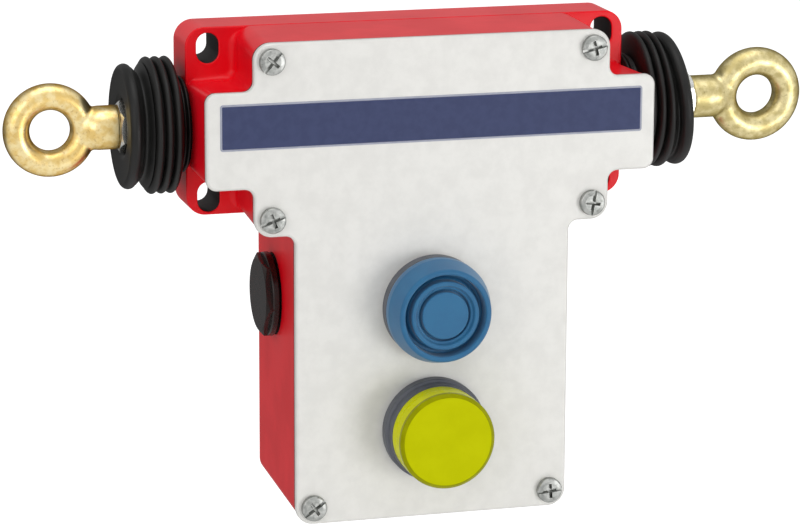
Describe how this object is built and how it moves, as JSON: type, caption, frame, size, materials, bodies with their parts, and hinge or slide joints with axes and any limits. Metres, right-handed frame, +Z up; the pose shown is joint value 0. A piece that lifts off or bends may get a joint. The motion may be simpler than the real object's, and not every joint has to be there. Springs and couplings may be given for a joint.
{
  "type": "rope pull switch",
  "caption": "Two-way rope pull switch: cast housing with a pull eye at each end, booted reset button, pilot light and blanking plugs.",
  "frame": {"origin": "centre of the four mounting slots, on the wall face of the housing", "axes": "+X to the right seen from the front, +Y into the wall, +Z up"},
  "size_m": [0.2368, 0.0697, 0.1389],
  "materials": {
    "red_enamel": "glossy enamel on a die casting",
    "cover_steel": "satin steel plate, faintly mottled",
    "black_rubber": "moulded, matte",
    "zinc_steel": "dull zinc plating",
    "blue_print": "printed film",
    "bellows_rubber": "moulded, matte",
    "passivated_steel": "forged, yellow passivated",
    "shaft_steel": "turned",
    "bush_brass": "turned",
    "spring_steel": "drawn wire",
    "dark_plastic": "moulded",
    "pale_plastic": "moulded",
    "collar_plastic": "moulded, satin",
    "blue_silicone": "moulded silicone, matte",
    "lens_yellow": "translucent moulded lens",
    "plug_plastic": "moulded polyamide"
  },
  "bodies": {
    "body": {"housing": "red_enamel", "cover": "cover_steel", "cover_gasket": "black_rubber", "cover_screws": "zinc_steel", "name_band": "blue_print", "left_bellows": "bellows_rubber", "right_bellows": "bellows_rubber", "left_guide_bush": "bush_brass", "right_guide_bush": "bush_brass", "left_pull_spring": "spring_steel", "right_pull_spring": "spring_steel", "left_contact_block": "dark_plastic", "right_contact_block": "dark_plastic", "terminal_screws": "zinc_steel", "chassis_plate": "zinc_steel", "chassis_screws": "zinc_steel", "earth_screw": "bush_brass", "latch_pin": "shaft_steel", "reset_bezel": "collar_plastic", "reset_boot": "blue_silicone", "reset_spring": "spring_steel", "reset_nut": "dark_plastic", "pilot_collar": "collar_plastic", "pilot_lens": "lens_yellow", "pilot_led_block": "pale_plastic", "pilot_nut": "dark_plastic", "left_blanking_plug": "plug_plastic", "right_blanking_plug": "plug_plastic", "left_plug_seal": "black_rubber", "right_plug_seal": "black_rubber"},
    "left_pull": {"left_spring_cup": "shaft_steel"},
    "left_eye_body": {"left_eye": "passivated_steel", "left_lock_nut": "zinc_steel", "left_shaft": "shaft_steel"},
    "right_pull": {"right_spring_cup": "shaft_steel"},
    "right_eye_body": {"right_eye": "passivated_steel", "right_lock_nut": "zinc_steel", "right_shaft": "shaft_steel"},
    "left_contact": {"left_contact_plunger": "pale_plastic"},
    "right_contact": {"right_contact_plunger": "pale_plastic"},
    "reset": {"reset_cap": "blue_silicone", "reset_plunger": "pale_plastic"},
    "latch": {"latch_lever": "shaft_steel"}
  },
  "joints": [
    {"name": "left_pull_slide", "type": "slide", "parent": "body", "child": "left_pull", "axis": [-1, 0, 0], "range_m": [0, 0.008], "stiffness_N_per_m": 6000, "deforming": ["left_pull_spring", "left_bellows"]},
    {"name": "left_eye_swivel", "type": "hinge", "parent": "left_pull", "child": "left_eye_body", "pos_m": [0, -0.0219, -0.0003], "axis": [1, 0, 0], "continuous": true},
    {"name": "right_pull_slide", "type": "slide", "parent": "body", "child": "right_pull", "axis": [1, 0, 0], "range_m": [0, 0.008], "stiffness_N_per_m": 6000, "deforming": ["right_pull_spring", "right_bellows"]},
    {"name": "right_eye_swivel", "type": "hinge", "parent": "right_pull", "child": "right_eye_body", "pos_m": [0, -0.0219, -0.0003], "axis": [1, 0, 0], "continuous": true},
    {"name": "left_contact_slide", "type": "slide", "parent": "body", "child": "left_contact", "axis": [0, 0, -1], "range_m": [0, 0.0025]},
    {"name": "right_contact_slide", "type": "slide", "parent": "body", "child": "right_contact", "axis": [0, 0, -1], "range_m": [0, 0.0025]},
    {"name": "reset_push", "type": "slide", "parent": "body", "child": "reset", "axis": [0, 1, 0], "range_m": [0, 0.0035], "stiffness_N_per_m": 900, "deforming": ["reset_spring"]},
    {"name": "latch_pivot", "type": "hinge", "parent": "body", "child": "latch", "pos_m": [0, -0.0242, -0.0295], "axis": [1, 0, 0], "range_deg": [0, 12]}
  ],
  "couplings": [
    {"joint": "left_contact_slide", "follows": "left_pull_slide", "ratio": 0.3},
    {"joint": "right_contact_slide", "follows": "right_pull_slide", "ratio": 0.3},
    {"joint": "latch_pivot", "follows": "reset_push", "rad_per_m": 48.78}
  ]
}
